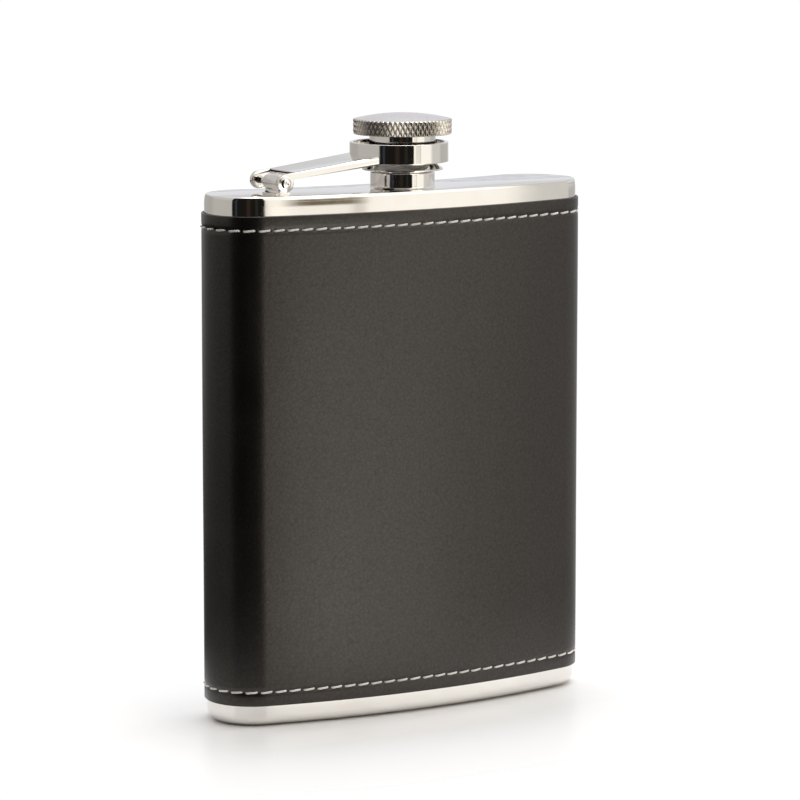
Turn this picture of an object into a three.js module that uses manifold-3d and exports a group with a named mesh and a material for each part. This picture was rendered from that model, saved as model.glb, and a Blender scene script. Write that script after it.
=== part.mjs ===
// Hip flask: a kidney-section steel bottle in a stitched leather wrap, with a knurled screw cap that is held
// captive by a collar on a hinged arm. Millimetres. +Z is up, +X is to the right seen from the front, and the
// convex front face looks along -Y. The origin is on the axis of the neck, at the underside of the base.
import * as THREE from "three";
import { mergeVertices } from "three/addons/utils/BufferGeometryUtils.js";
import Module from "manifold-3d";

const wasm = await Module();
wasm.setup();

// Steel bottle
const bodyWidth = 96;
const bodyThickness = 21.6;
const frontSagitta = 6.5; // how far the front face bows out over the whole width
const cornerRadius = 10.3; // between the faces and the narrow ends
const bodyHeight = 120;
const wallThickness = 0.6;
const topPlateThickness = 0.8;
const topRimRadius = 0.5;
const basePanHeight = 3.2;
const baseEdgeRadius = 2.2;

// Leather wrap: a lining glued to the steel, and the leather sewn over it. Outsets are from the steel.
const wrapBottom = 4.7;
const wrapTop = 115.8;
const liningInner = 0.08;
const liningOuter = 0.25;
const leatherInner = 0.3;
const leatherOuter = 0.65;
const stitchInset = 3.2; // from the wrap's edge to the row of stitches
const grooveHalfWidth = 0.45;
const grooveDepth = 0.17;
const threadRadius = 0.2;
const threadOutset = 0.72;
const seamWidth = 0.25; // where the two ends of the wrap meet, in the middle of the back
const wrapEdgeRadius = 0.15;

// Fits
const chamfer = 0.25; // on turned edges
const snugGap = 0.05; // between pieces that are pressed or screwed together
const weldGap = 0.3; // between the arm's cut end and the collar it is welded to

// Neck. From here on, heights are above the top plate.
const neckRadius = 7.4;
const neckFillet = 0.6;
const shoulderHeight = 3.7;
const spoutRadius = 5.85;
const spoutHeight = 9.6;
const boreRadius = 4.9;
const plateHoleRadius = 7;
const lipRadius = 7.8; // swaged out under the plate
const lipDepth = 0.8;

// Screw thread of the spout and the cap, and the crests that pass each other
const threadPitch = 1.5;
const spoutCrest = 6.45;
const capBore = 6.65;
const capCrest = 6.15;
const spoutThreadStart = 5.3;
const spoutThreadTurns = 1.2;
const capThreadTurns = 2;
const ridgeRootHalfWidth = 0.32;
const ridgeCrestHalfWidth = 0.12;
const ridgeSunk = 0.2; // how deep a ridge is rooted in its wall

// Cap
const skirtBottom = 4.05;
const skirtRadius = 7.6;
const skirtTop = 13;
const flareRadius = 9.3; // keeps the collar on the cap
const flareThickness = 0.4;
const flareConeHeight = 1.05;
const sealBottom = spoutHeight + snugGap;
const sealThickness = 1.25;
const sealRadius = 6.3;
const headRadius = 11.3;
const headBottom = 12.2;
const headRim = 15.65;
const headTop = 16.95;

// Collar, which hangs a little off the cap's axis, towards the hinge
const collarShift = 0.95;
const collarTopRadius = 11.2;
const collarBottomRadius = 11.4;
const collarBottom = 5.95;
const collarTop = 10.45;
const collarInner = 10.4;
const webBottom = 8.55;
const webTop = 9.45;
const webHoleRadius = 8.75;

// Arm: a channel pressed from sheet, with an ear on each side at the hinge
const hingeX = -34.35;
const hingeHeight = 2.85;
const armSlope = THREE.MathUtils.degToRad(7.4);
const armWidth = 13;
const armDepth = 1.6; // at the hinge, and deeper at the collar
const armCollarDepth = 2.3;
const armSheet = 0.95;
const armLength = 28; // before it is cut to the collar
const earRadius = 2;
const earHole = 0.9;
const foldRadius = 0.9;
const webStart = 3; // the web stops short of the hinge, to clear the bracket

// Hinge bracket and pin
const knuckleRadius = 1.9;
const knuckleFront = -5.1;
const knuckleBack = 0.9;
const bracketHole = 0.85;
const stemHalfWidth = 1.2;
const footHalfLength = 2.6;
const footThickness = 0.7;
const pinRadius = 0.8;
const pinHeadRadius = 1.2;
const pinHeadThickness = 0.35;

// Segments
const faceSegments = 12;
const cornerSegments = 5;
const roundSegments = 36;
const headSegments = 48;
const pinSegments = 24;
const sideViewSegments = 12; // for each curve of a piece that is drawn from the side
const edgeSegments = 3; // for each small rounded edge
const baseEdgeSegments = 4;
const domeSegments = 5;
const threadSides = 6;

const finish = {
  steel: { color: 0xc9c6c0, metalness: 1, roughness: 0.12 },
  satin: { color: 0xaaa69f, metalness: 1, roughness: 0.38 },
  leather: { color: 0x2e2a27, metalness: 0, roughness: 0.55 },
  lining: { color: 0x3a3632, metalness: 0, roughness: 0.9 },
  thread: { color: 0xd8d3ca, metalness: 0, roughness: 0.8 },
  seal: { color: 0xe6e4dd, metalness: 0, roughness: 0.6 },
};

function addMesh(parent, name, geometry, look) {
  const mesh = new THREE.Mesh(geometry, new THREE.MeshStandardMaterial(finish[look]));
  mesh.name = name;
  parent.add(mesh);
  return mesh;
}

// Solids for joining and cutting.

function solidOf(geometry) {
  const bare = new THREE.BufferGeometry();
  bare.setAttribute("position", geometry.getAttribute("position"));
  bare.setIndex(geometry.index);
  const merged = mergeVertices(bare, 1e-4);
  const mesh = new wasm.Mesh({
    numProp: 3,
    vertProperties: new Float32Array(merged.attributes.position.array),
    triVerts: new Uint32Array(merged.index.array),
  });
  return new wasm.Manifold(mesh);
}

function geometryOf(solid) {
  const mesh = solid.getMesh();
  const geometry = new THREE.BufferGeometry();
  geometry.setAttribute("position", new THREE.BufferAttribute(mesh.vertProperties, 3));
  geometry.setIndex(new THREE.BufferAttribute(mesh.triVerts, 1));
  return geometry;
}

function box(xRange, yRange, zRange) {
  const [x0, x1] = xRange;
  const [y0, y1] = yRange;
  const [z0, z1] = zRange;
  const made = new THREE.BoxGeometry(x1 - x0, y1 - y0, z1 - z0);
  return made.translate((x0 + x1) / 2, (y0 + y1) / 2, (z0 + z1) / 2);
}

// A solid of revolution about +Z, from [radius, height] pairs that run anticlockwise round the section.
function turned(profile, segments = roundSegments) {
  const points = profile.map(([radius, height]) => new THREE.Vector2(radius, height));
  return new THREE.LatheGeometry(points, segments).rotateX(Math.PI / 2);
}

// A side view in the XZ plane, given thickness from yFront to yBack.
function extrudedAlongY(shape, yFront, yBack) {
  const made = new THREE.ExtrudeGeometry(shape, {
    depth: yBack - yFront,
    bevelEnabled: false,
    curveSegments: sideViewSegments,
  });
  return made.rotateX(Math.PI / 2).translate(0, yBack, 0);
}

// The kidney section. The front and back faces are arcs about one centre behind the flask, and each narrow
// end is a short flat between two corner arcs.

const frontRadius = (bodyWidth ** 2 / 4 + frontSagitta ** 2) / (2 * frontSagitta);
const backRadius = frontRadius - bodyThickness;
const arcCentreY = frontRadius - bodyThickness / 2;
const frontHalfAngle = Math.asin((bodyWidth / 2 - cornerRadius) / (frontRadius - cornerRadius));
const endAngle = frontHalfAngle + Math.asin(cornerRadius / (frontRadius - cornerRadius));
const backHalfAngle = endAngle - Math.asin(cornerRadius / (backRadius + cornerRadius));

function arcPoints(x, y, radius, from, to, segments) {
  const points = [];
  for (let i = 0; i <= segments; i += 1) {
    const angle = from + ((to - from) * i) / segments;
    points.push(new THREE.Vector2(x + radius * Math.cos(angle), y + radius * Math.sin(angle)));
  }
  return points;
}

// The section's outline, anticlockwise from the middle of the back, moved out from the steel by outset.
function kidneyOutline(outset) {
  const quarter = Math.PI / 2;
  const halfFace = faceSegments / 2;
  const corner = cornerRadius + outset;
  const front = frontRadius - cornerRadius;
  const back = backRadius + cornerRadius;
  const right = [
    ...arcPoints(0, arcCentreY, frontRadius + outset, -quarter, frontHalfAngle - quarter, halfFace),
    ...arcPoints(
      front * Math.sin(frontHalfAngle),
      arcCentreY - front * Math.cos(frontHalfAngle),
      corner,
      frontHalfAngle - quarter,
      endAngle,
      cornerSegments,
    ).slice(1),
    ...arcPoints(
      back * Math.sin(backHalfAngle),
      arcCentreY - back * Math.cos(backHalfAngle),
      corner,
      endAngle,
      quarter + backHalfAngle,
      cornerSegments,
    ),
    ...arcPoints(0, arcCentreY, backRadius - outset, backHalfAngle - quarter, -quarter, halfFace).slice(1),
  ];
  const left = right
    .slice(1, -1)
    .reverse()
    .map((point) => new THREE.Vector2(-point.x, point.y));
  return [...right, ...left];
}

// Sweeps [outset, height] pairs round the section. A closed profile makes a ring. An open one is capped by
// the section at both ends: it starts at the underside and ends at the top face.
function kidneySweep(profile, closed) {
  const rings = profile.map(([outset]) => kidneyOutline(outset));
  const count = rings[0].length;
  const positions = rings.flatMap((ring, level) => {
    const height = profile[level][1];
    return ring.flatMap((point) => [point.x, point.y, height]);
  });
  const index = [];
  const spans = closed ? profile.length : profile.length - 1;
  for (let level = 0; level < spans; level += 1) {
    const low = level * count;
    const high = ((level + 1) % profile.length) * count;
    for (let i = 0; i < count; i += 1) {
      const next = (i + 1) % count;
      index.push(low + i, low + next, high + next, low + i, high + next, high + i);
    }
  }
  if (!closed) {
    const last = (profile.length - 1) * count;
    for (const [a, b, c] of THREE.ShapeUtils.triangulateShape(rings[0], [])) index.push(c, b, a);
    for (const [a, b, c] of THREE.ShapeUtils.triangulateShape(rings.at(-1), [])) {
      index.push(last + a, last + b, last + c);
    }
  }
  const geometry = new THREE.BufferGeometry();
  geometry.setAttribute("position", new THREE.Float32BufferAttribute(positions, 3));
  geometry.setIndex(index);
  return geometry;
}

// [outset, height] pairs of a rounded outer edge, from one angle to another about its centre.
function edgeArc(outset, height, radius, from, to, segments) {
  return arcPoints(outset, height, radius, from, to, segments).map((point) => [point.x, point.y]);
}

// Bottle

function bodyTube() {
  const top = bodyHeight - topPlateThickness;
  const profile = [
    [0, basePanHeight],
    [0, top],
    [-wallThickness, top],
    [-wallThickness, basePanHeight],
  ];
  return kidneySweep(profile, true);
}

function basePan() {
  const centre = baseEdgeRadius;
  const inner = baseEdgeRadius - wallThickness;
  const profile = [
    ...edgeArc(-centre, centre, baseEdgeRadius, -Math.PI / 2, 0, baseEdgeSegments),
    [0, basePanHeight],
    [-wallThickness, basePanHeight],
    ...edgeArc(-centre, centre, inner, 0, -Math.PI / 2, edgeSegments),
  ];
  return kidneySweep(profile, false);
}

function topPlate() {
  const bottom = bodyHeight - topPlateThickness;
  const rimHeight = bodyHeight - topRimRadius;
  const edge = edgeArc(-topRimRadius, rimHeight, topRimRadius, 0, Math.PI / 2, edgeSegments);
  const plate = solidOf(kidneySweep([[0, bottom], ...edge], false));
  const holeHeight = 4 * topPlateThickness;
  const hole = new THREE.CylinderGeometry(plateHoleRadius, plateHoleRadius, holeHeight, roundSegments);
  hole.rotateX(Math.PI / 2).translate(0, 0, bodyHeight);
  return geometryOf(plate.subtract(solidOf(hole)));
}

// A helical ridge on a round wall. It rises one pitch a turn, anticlockwise from above, and runs out at both
// ends.
function helicalRidge(rootRadius, crestRadius, start, turns) {
  const stepsPerTurn = 24;
  const runOut = 3;
  const leastHeight = 0.04;
  const steps = Math.round(turns * stepsPerTurn);
  const positions = [];
  for (let i = 0; i <= steps; i += 1) {
    const angle = (i / stepsPerTurn) * 2 * Math.PI;
    const height = start + (i / stepsPerTurn) * threadPitch;
    const full = Math.min(1, i / runOut, (steps - i) / runOut);
    const crest = rootRadius + (crestRadius - rootRadius) * Math.max(leastHeight, full);
    const section = [
      [rootRadius, -ridgeRootHalfWidth],
      [crest, -ridgeCrestHalfWidth],
      [crest, ridgeCrestHalfWidth],
      [rootRadius, ridgeRootHalfWidth],
    ];
    for (const [radius, rise] of section) {
      positions.push(radius * Math.cos(angle), radius * Math.sin(angle), height + rise);
    }
  }
  const outward = crestRadius > rootRadius;
  const index = [];
  const face = (a, b, c) => index.push(...(outward ? [a, b, c] : [c, b, a]));
  for (let i = 0; i < steps; i += 1) {
    for (let side = 0; side < 4; side += 1) {
      const a = i * 4 + side;
      const b = i * 4 + ((side + 1) % 4);
      face(a, a + 4, b + 4);
      face(a, b + 4, b);
    }
  }
  const last = steps * 4;
  face(0, 1, 2);
  face(0, 2, 3);
  face(last, last + 2, last + 1);
  face(last, last + 3, last + 2);
  const geometry = new THREE.BufferGeometry();
  geometry.setAttribute("position", new THREE.Float32BufferAttribute(positions, 3));
  geometry.setIndex(index);
  return geometry;
}

function neck() {
  const spigotRadius = plateHoleRadius - snugGap;
  const filletRadius = neckRadius + neckFillet;
  const fillet = edgeArc(filletRadius, neckFillet, neckFillet, -Math.PI / 2, -Math.PI, edgeSegments);
  const profile = [
    [boreRadius, -topPlateThickness - lipDepth],
    [lipRadius, -topPlateThickness - lipDepth],
    [lipRadius, -topPlateThickness],
    [spigotRadius, -topPlateThickness],
    [spigotRadius, 0],
    ...fillet,
    [neckRadius, shoulderHeight - chamfer],
    [neckRadius - chamfer, shoulderHeight],
    [spoutRadius, shoulderHeight],
    [spoutRadius, spoutHeight - chamfer],
    [spoutRadius - chamfer, spoutHeight],
    [boreRadius + chamfer, spoutHeight],
    [boreRadius, spoutHeight - chamfer],
    [boreRadius, -topPlateThickness - lipDepth],
  ];
  const ridge = helicalRidge(spoutRadius - ridgeSunk, spoutCrest, spoutThreadStart, spoutThreadTurns);
  return geometryOf(solidOf(turned(profile)).add(solidOf(ridge)));
}

// Wrap

// Cuts the gap where the two ends of the wrap meet.
function openSeam(geometry) {
  const gap = box([-seamWidth / 2, seamWidth / 2], [0, bodyThickness], [0, bodyHeight]);
  return geometryOf(solidOf(geometry).subtract(solidOf(gap)));
}

function wrapLining() {
  const profile = [
    [liningOuter, wrapBottom],
    [liningOuter, wrapTop],
    [liningInner, wrapTop],
    [liningInner, wrapBottom],
  ];
  return openSeam(kidneySweep(profile, true));
}

function stitchGroove(height) {
  const floor = leatherOuter - grooveDepth;
  return [
    [leatherOuter, height - grooveHalfWidth],
    [floor, height - grooveHalfWidth],
    [floor, height + grooveHalfWidth],
    [leatherOuter, height + grooveHalfWidth],
  ];
}

function leatherWrap() {
  const rounded = leatherOuter - wrapEdgeRadius;
  const profile = [
    [leatherInner, wrapBottom],
    ...edgeArc(rounded, wrapBottom + wrapEdgeRadius, wrapEdgeRadius, -Math.PI / 2, 0, 1),
    ...stitchGroove(wrapBottom + stitchInset),
    ...stitchGroove(wrapTop - stitchInset),
    ...edgeArc(rounded, wrapTop - wrapEdgeRadius, wrapEdgeRadius, 0, Math.PI / 2, 1),
    [leatherInner, wrapTop],
  ];
  return openSeam(kidneySweep(profile, true));
}

function stitchThread(height) {
  const circle = edgeArc(threadOutset, height, threadRadius, 0, 2 * Math.PI, threadSides);
  return openSeam(kidneySweep(circle.slice(1), true));
}

// Hinge

function circleHole(radius) {
  const hole = new THREE.Path();
  hole.absarc(0, 0, radius, 0, 2 * Math.PI, true);
  return hole;
}

// The knuckle stands on a stem and a welded foot. The origin is on the hinge axis.
function hingeBracket() {
  const footTop = footThickness - hingeHeight;
  const stemAngle = Math.asin(stemHalfWidth / knuckleRadius);
  const side = new THREE.Shape();
  side.moveTo(-footHalfLength, -hingeHeight);
  side.lineTo(footHalfLength, -hingeHeight);
  side.lineTo(footHalfLength, footTop);
  side.lineTo(stemHalfWidth, footTop);
  side.absarc(0, 0, knuckleRadius, stemAngle - Math.PI / 2, (3 * Math.PI) / 2 - stemAngle, false);
  side.lineTo(-stemHalfWidth, footTop);
  side.lineTo(-footHalfLength, footTop);
  side.holes.push(circleHole(bracketHole));
  return extrudedAlongY(side, knuckleFront, knuckleBack);
}

function hingePin() {
  const headFace = armWidth / 2 + snugGap;
  const end = headFace + pinHeadThickness;
  const profile = [
    [0, -end],
    [pinHeadRadius - chamfer, -end],
    [pinHeadRadius, -headFace],
    [pinRadius, -headFace],
    [pinRadius, headFace],
    [pinHeadRadius, headFace],
    [pinHeadRadius - chamfer, end],
    [0, end],
  ];
  return turned(profile, pinSegments).rotateX(Math.PI / 2);
}

// Arm and collar

// The arm in its own frame: the hinge axis is the origin, and the arm runs level along +X.
function levelArm() {
  const half = armWidth / 2;
  const lowerJoin = Math.asin((earRadius - armDepth) / earRadius);
  const side = new THREE.Shape();
  side.moveTo(0, earRadius);
  side.absarc(0, 0, earRadius, Math.PI / 2, 2 * Math.PI + lowerJoin, false);
  side.lineTo(armLength, earRadius - armCollarDepth);
  side.lineTo(armLength, earRadius);
  side.holes.push(circleHole(earHole));
  const bar = solidOf(extrudedAlongY(side, -half, half));

  const reach = 2 * earRadius; // past the arm on every side
  const across = new THREE.Shape();
  across.moveTo(-half, -reach);
  across.lineTo(half, -reach);
  across.absarc(half - foldRadius, earRadius - foldRadius, foldRadius, 0, Math.PI / 2, false);
  across.absarc(foldRadius - half, earRadius - foldRadius, foldRadius, Math.PI / 2, Math.PI, false);
  const folds = new THREE.ExtrudeGeometry(across, {
    depth: armLength + 2 * reach,
    bevelEnabled: false,
    curveSegments: edgeSegments,
  });
  folds.rotateX(Math.PI / 2).rotateZ(Math.PI / 2).translate(-reach, 0, 0);

  const inside = [armSheet - half, half - armSheet];
  const channel = solidOf(box([-reach, armLength + reach], inside, [-reach, earRadius - armSheet]));
  const hingeRoom = solidOf(box([-reach, webStart], inside, [-reach, reach]));
  return geometryOf(bar.intersect(solidOf(folds)).subtract(channel).subtract(hingeRoom));
}

function collar() {
  const profile = [
    [collarInner, collarBottom],
    [collarBottomRadius - chamfer, collarBottom],
    [collarBottomRadius, collarBottom + chamfer],
    [collarTopRadius, collarTop - chamfer],
    [collarTopRadius - chamfer, collarTop],
    [collarInner, collarTop],
    [collarInner, webTop],
    [webHoleRadius, webTop],
    [webHoleRadius, webBottom],
    [collarInner, webBottom],
    [collarInner, collarBottom],
  ];
  return turned(profile).translate(-collarShift, 0, bodyHeight);
}

// The sloping arm in the flask's frame, ending short of the collar by the weld.
function swingArm() {
  const arm = levelArm().rotateY(-armSlope).translate(hingeX, 0, bodyHeight + hingeHeight);
  const cutRadius = collarBottomRadius + weldGap;
  const cutter = new THREE.CylinderGeometry(cutRadius, cutRadius, armLength, 2 * roundSegments);
  cutter.rotateX(Math.PI / 2);
  return geometryOf(solidOf(arm).subtract(solidOf(cutter.translate(-collarShift, 0, bodyHeight))));
}

// Cap

function capSkirt() {
  const ceiling = sealBottom + sealThickness + snugGap;
  const flareTop = skirtBottom + flareThickness;
  const profile = [
    [0, ceiling],
    [capBore, ceiling],
    [capBore, skirtBottom + chamfer],
    [capBore + chamfer, skirtBottom],
    [flareRadius, skirtBottom],
    [flareRadius, flareTop],
    [skirtRadius, flareTop + flareConeHeight],
    [skirtRadius, skirtTop],
    [0, skirtTop],
  ];
  const start = spoutThreadStart - threadPitch / 2;
  const ridge = helicalRidge(capBore + ridgeSunk, capCrest, start, capThreadTurns);
  return geometryOf(solidOf(turned(profile)).add(solidOf(ridge)));
}

function capSeal() {
  const top = sealBottom + sealThickness;
  const profile = [
    [0, sealBottom],
    [sealRadius, sealBottom],
    [sealRadius, top],
    [0, top],
  ];
  return turned(profile);
}

function capHead() {
  const recessRadius = skirtRadius + snugGap;
  const recessTop = skirtTop + snugGap;
  const rimRadius = headRadius - chamfer;
  const domeHeight = headTop - headRim;
  const domeRadius = (rimRadius ** 2 + domeHeight ** 2) / (2 * domeHeight);
  const domeAngle = Math.asin(rimRadius / domeRadius);
  const domeStart = Math.PI / 2 - domeAngle;
  const dome = edgeArc(0, headTop - domeRadius, domeRadius, domeStart, Math.PI / 2, domeSegments);
  const profile = [
    [0, recessTop],
    [recessRadius, recessTop],
    [recessRadius, headBottom],
    [headRadius - chamfer, headBottom],
    [headRadius, headBottom + chamfer],
    [headRadius, headRim - chamfer],
    ...dome.slice(0, -1),
    [0, headTop],
  ];
  return turned(profile, headSegments);
}

// Assembly

const flask = new THREE.Group();
addMesh(flask, "body_tube", bodyTube(), "steel");
addMesh(flask, "base_pan", basePan(), "steel");
addMesh(flask, "top_plate", topPlate(), "steel");
addMesh(flask, "wrap_lining", wrapLining(), "lining");
addMesh(flask, "leather_wrap", leatherWrap(), "leather");
addMesh(flask, "stitch_thread_top", stitchThread(wrapTop - stitchInset), "thread");
addMesh(flask, "stitch_thread_bottom", stitchThread(wrapBottom + stitchInset), "thread");

const neckGroup = new THREE.Group();
neckGroup.position.z = bodyHeight;
flask.add(neckGroup);
addMesh(neckGroup, "neck", neck(), "steel");
addMesh(neckGroup, "cap_seal", capSeal(), "seal");
addMesh(neckGroup, "cap_skirt", capSkirt(), "steel");
addMesh(neckGroup, "cap_head", capHead(), "satin");

const hingeGroup = new THREE.Group();
hingeGroup.position.set(hingeX, 0, bodyHeight + hingeHeight);
flask.add(hingeGroup);
addMesh(hingeGroup, "hinge_bracket", hingeBracket(), "steel");
addMesh(hingeGroup, "hinge_pin", hingePin(), "steel");

addMesh(flask, "swing_arm", swingArm(), "steel");
addMesh(flask, "captive_collar", collar(), "steel");

export default flask;
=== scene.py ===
"""A leather-wrapped steel hip flask with a captive screw cap, as a studio photograph.

Everything is in metres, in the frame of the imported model: +Z up, the convex front face towards -Y, and the
origin under the neck's axis at the underside of the base.
"""

import math

import bmesh
import bpy
from mathutils import Matrix, Vector


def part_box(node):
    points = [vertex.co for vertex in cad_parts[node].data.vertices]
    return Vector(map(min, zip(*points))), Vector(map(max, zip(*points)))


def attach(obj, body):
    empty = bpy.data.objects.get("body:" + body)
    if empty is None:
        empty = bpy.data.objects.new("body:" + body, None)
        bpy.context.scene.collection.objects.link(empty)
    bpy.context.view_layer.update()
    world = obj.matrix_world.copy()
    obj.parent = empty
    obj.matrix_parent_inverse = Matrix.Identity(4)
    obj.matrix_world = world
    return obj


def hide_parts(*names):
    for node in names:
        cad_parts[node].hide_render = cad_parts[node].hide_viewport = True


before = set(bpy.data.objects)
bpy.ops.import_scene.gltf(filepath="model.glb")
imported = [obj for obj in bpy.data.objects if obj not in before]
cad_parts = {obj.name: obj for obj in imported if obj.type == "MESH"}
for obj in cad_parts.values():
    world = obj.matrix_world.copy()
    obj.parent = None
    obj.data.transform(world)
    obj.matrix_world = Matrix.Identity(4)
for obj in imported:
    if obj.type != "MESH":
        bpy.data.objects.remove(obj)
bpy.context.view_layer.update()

MM = 0.001

# Studio
CAMERA_YAW = math.radians(31.5)  # to the left of the front
CAMERA_PITCH = math.radians(8.3)
CAMERA_DISTANCE = 0.943
CAMERA_AIM = Vector((-0.00056, 0.00016, 0.0708))
CAMERA_LENS = 184.4
KEY_PLACE = (0.437, 0.178, 2.2)
KEY_SIZE = 1.2
KEY_POWER = 27.0
FLOOR_GAP = 0.2 * MM  # under the base
FLOOR_RADIUS = 0.16
BASE_CORE_HALF = 37 * MM  # the base is roughly a bar with round ends: half the bar's straight length,
BASE_CORE_RADIUS = 11 * MM  # and the radius of its ends
FLOOR_SOLID = 15 * MM  # from the base, and beyond that the floor fades into the white of the room
FLOOR_GONE = 75 * MM

# Mesh
WELD_DISTANCE = 1e-7
TOLERANCE = 1e-6
BEVEL_ANGLE = math.radians(30)
CUT_MARGIN = 1 * MM  # how far a cutter reaches past what it cuts

# Steel bottle
FRONT_SAGITTA = 6.5 * MM
CORNER_RADIUS = 10.3 * MM
WALL = 0.6 * MM
BASE_EDGE_RADIUS = 2.2 * MM
PLATE_HOLE_RADIUS = 7.0 * MM
TOP_RIM_INSET = 0.45 * MM  # the top edge is drawn in over a taller curve
TOP_RIM_HEIGHT = 2.4 * MM
RIM_STEPS = 14
OUTLINE_STEP = 0.45 * MM

# Wrap: outsets are from the steel
LINING_INNER = 0.03 * MM
LINING_OUTER = 0.25 * MM
LINING_SEAM_HALF = 0.005 * MM
LINING_COLUMNS = 400
LEATHER_INNER = 0.28 * MM
LEATHER_OUTER = 0.65 * MM
LEATHER_EDGE_RADIUS = 0.16 * MM
LEATHER_SEAM_HALF = 0.04 * MM
LEATHER_SWELL = 0.018 * MM
LEATHER_STEP = 0.28 * MM
PLAIN_ROW_STEP = 7.0 * MM
PLAIN_ROWS = 13
STITCH_BAND_HALF = 1.8 * MM
STITCH_BAND_STEPS = 18

# Stitching
STITCH_INSET = 3.2 * MM
STITCH_COUNT = 65
STITCH_LENGTH = 2.55 * MM
STITCH_SLANT = 0.12 * MM
CHANNEL_REACH = 2.5 * MM
CHANNEL_DEPTH = 0.12 * MM
CHANNEL_WIDTH = 0.6 * MM
NEEDLE_HOLE_DEPTH = 0.14 * MM
NEEDLE_HOLE_LENGTH = 0.34 * MM
NEEDLE_HOLE_WIDTH = 0.4 * MM
THREAD_RADIUS = 0.23 * MM
THREAD_FLATNESS = 0.8
THREAD_CROWN = 0.01 * MM  # the thread's middle line over the leather, halfway along a stitch
THREAD_DIVE = 0.42 * MM  # and how far it drops at each end
THREAD_SIDES = 10
THREAD_STEPS = 20
PLY_COUNT = 3
PLY_DEPTH = 0.13
PLY_LENGTH = 1.5 * MM

# Turned parts: heights are above the top plate
BRACE = 0.06 * MM
SCREW_PITCH = 1.5 * MM
RIDGE_ROOT_HALF = 0.3 * MM
RIDGE_CREST_HALF = 0.1 * MM
RIDGE_ROW = 0.1 * MM
NECK_RADIUS = 7.4 * MM
SPOUT_RADIUS = 5.85 * MM
SPOUT_CREST = 6.45 * MM
BORE_RADIUS = 4.9 * MM
CAP_BORE = 6.65 * MM
CAP_CREST = 6.15 * MM
FLARE_RADIUS = 9.3 * MM
SKIRT_RADIUS = 7.6 * MM
KNURL_COUNT = 62
KNURL_HEIGHT = 2.2 * MM  # of one diamond
KNURL_DEPTH = 0.32 * MM
KNURL_FLAT = 0.9  # the share of a diamond's full height at which its top is cut off
KNURL_EDGE = 0.55  # the share of that height at the knurl's two edges
KNURL_RUN_OUT = 0.2 * MM

# Hinge
HINGE_SIDES = 40
BRACKET_HOLE_RADIUS = 0.85 * MM
ARM_HOLE_RADIUS = 0.9 * MM

low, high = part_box("body_tube")
BODY_WIDTH = high.x - low.x
BODY_THICKNESS = -2 * low.y
PLATE_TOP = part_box("top_plate")[1].z
WRAP_BOTTOM, WRAP_TOP = (corner.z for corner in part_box("leather_wrap"))
STITCH_ROWS = (WRAP_BOTTOM + STITCH_INSET, WRAP_TOP - STITCH_INSET)


# Meshes


def new_object(name, points, faces, sharp_degrees=35):
    mesh = bpy.data.meshes.new(name)
    mesh.from_pydata(points, [], faces)
    made = bpy.data.objects.new(name, mesh)
    bpy.context.scene.collection.objects.link(made)
    tidy_mesh(made, sharp_degrees)
    return made


def tidy_mesh(piece, sharp_degrees=35):
    """Welds coincident points, turns the faces outwards and shades them smooth, apart from sharp edges."""
    shape = bmesh.new()
    shape.from_mesh(piece.data)
    bmesh.ops.remove_doubles(shape, verts=shape.verts, dist=WELD_DISTANCE)
    bmesh.ops.recalc_face_normals(shape, faces=shape.faces)
    shape.to_mesh(piece.data)
    shape.free()
    piece.data.shade_smooth()
    piece.data.set_sharp_from_angle(angle=math.radians(sharp_degrees))


def loft(name, rings, joined_ends=False, capped=True, sharp_degrees=35):
    """Joins rings that have the same number of points."""
    count = len(rings[0])
    points = [point for ring in rings for point in ring]
    faces = []
    for level in range(len(rings) if joined_ends else len(rings) - 1):
        here = level * count
        there = (level + 1) % len(rings) * count
        for i in range(count):
            after = (i + 1) % count
            faces.append((here + i, here + after, there + after, there + i))
    if capped and not joined_ends:
        faces.append(tuple(reversed(range(count))))
        faces.append(tuple(range(len(points) - count, len(points))))
    return new_object(name, points, faces, sharp_degrees)


def arc(x, y, radius, start, end, steps):
    """Points on an arc, the angles in degrees."""
    points = []
    for i in range(steps + 1):
        angle = math.radians(start + (end - start) * i / steps)
        points.append((x + radius * math.cos(angle), y + radius * math.sin(angle)))
    return points


def braced(profile):
    """Adds points near the ends of the long straight runs, so that smooth shading leaves them straight."""
    result = []
    for i, (a, b) in enumerate(zip(profile, [*profile[1:], profile[0]])):
        result.append(a)
        run = math.dist(a, b)
        closing = i == len(profile) - 1
        if run < 6 * BRACE or (closing and a[0] == b[0] == 0):
            continue
        for share in (BRACE / run, 1 - BRACE / run):
            result.append((a[0] + (b[0] - a[0]) * share, a[1] + (b[1] - a[1]) * share))
    return result


def turned(name, profile, columns, relief=None, centre=(0.0, 0.0), sharp_degrees=35):
    """A solid of revolution about the vertical, whose wall relief(radius, height, angle) moves in or out."""
    rings = []
    for radius, height in braced(profile):
        ring = []
        for i in range(columns):
            angle = 2 * math.pi * i / columns
            reach = relief(radius, height, angle) if relief else radius
            x = centre[0] + reach * math.cos(angle)
            y = centre[1] + reach * math.sin(angle)
            ring.append((x, y, PLATE_TOP + height))
        rings.append(ring)
    return loft(name, rings, joined_ends=profile[0][0] > 0, capped=False, sharp_degrees=sharp_degrees)


def extruded(name, outline, y_front, y_back):
    """A side view in the XZ plane, given thickness."""
    return loft(name, [[(x, y, z) for x, z in outline] for y in (y_front, y_back)])


def apply_modifiers(piece):
    graph = bpy.context.evaluated_depsgraph_get()
    final = bpy.data.meshes.new_from_object(piece.evaluated_get(graph))
    piece.modifiers.clear()
    piece.data = final


def add_bevel(piece, width):
    bevel = piece.modifiers.new("bevel", "BEVEL")
    bevel.width = width
    bevel.segments = 2
    bevel.limit_method = "ANGLE"
    bevel.angle_limit = BEVEL_ANGLE
    apply_modifiers(piece)
    tidy_mesh(piece)


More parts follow.
